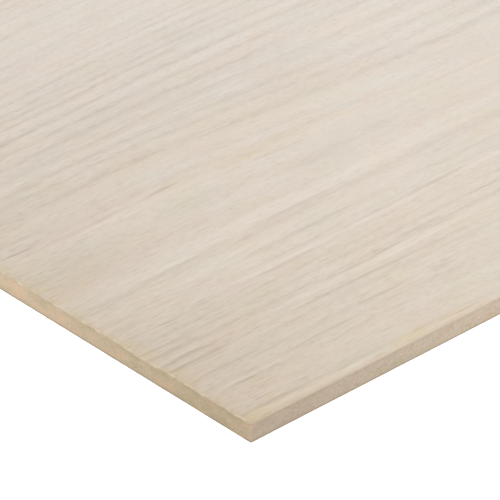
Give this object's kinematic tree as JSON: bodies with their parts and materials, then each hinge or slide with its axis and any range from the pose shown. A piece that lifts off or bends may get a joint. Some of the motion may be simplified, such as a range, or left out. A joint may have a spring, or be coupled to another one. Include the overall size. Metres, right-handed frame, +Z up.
{
  "type": "veneered mdf board",
  "caption": "Flat rectangular sheet of thin fibreboard faced with spliced leaves of pale crown-cut wood veneer, with a balancing veneer on its back.",
  "frame": {"origin": "middle of the sheet's underside", "axes": "+X along the sheet's length and the grain, +Y across its width, +Z up out of the veneered face"},
  "size_m": [2.44, 1.22, 0.006],
  "materials": {
    "mdf_core": "matte",
    "face_veneer": "matte",
    "back_veneer": "matte"
  },
  "bodies": {
    "root": {"mdf_core": "mdf_core", "face_leaf_1": "face_veneer", "face_leaf_2": "face_veneer", "face_leaf_3": "face_veneer", "face_leaf_4": "face_veneer", "back_leaf_1": "back_veneer", "back_leaf_2": "back_veneer", "back_leaf_3": "back_veneer", "back_leaf_4": "back_veneer", "back_leaf_5": "back_veneer"}
  },
  "joints": []
}
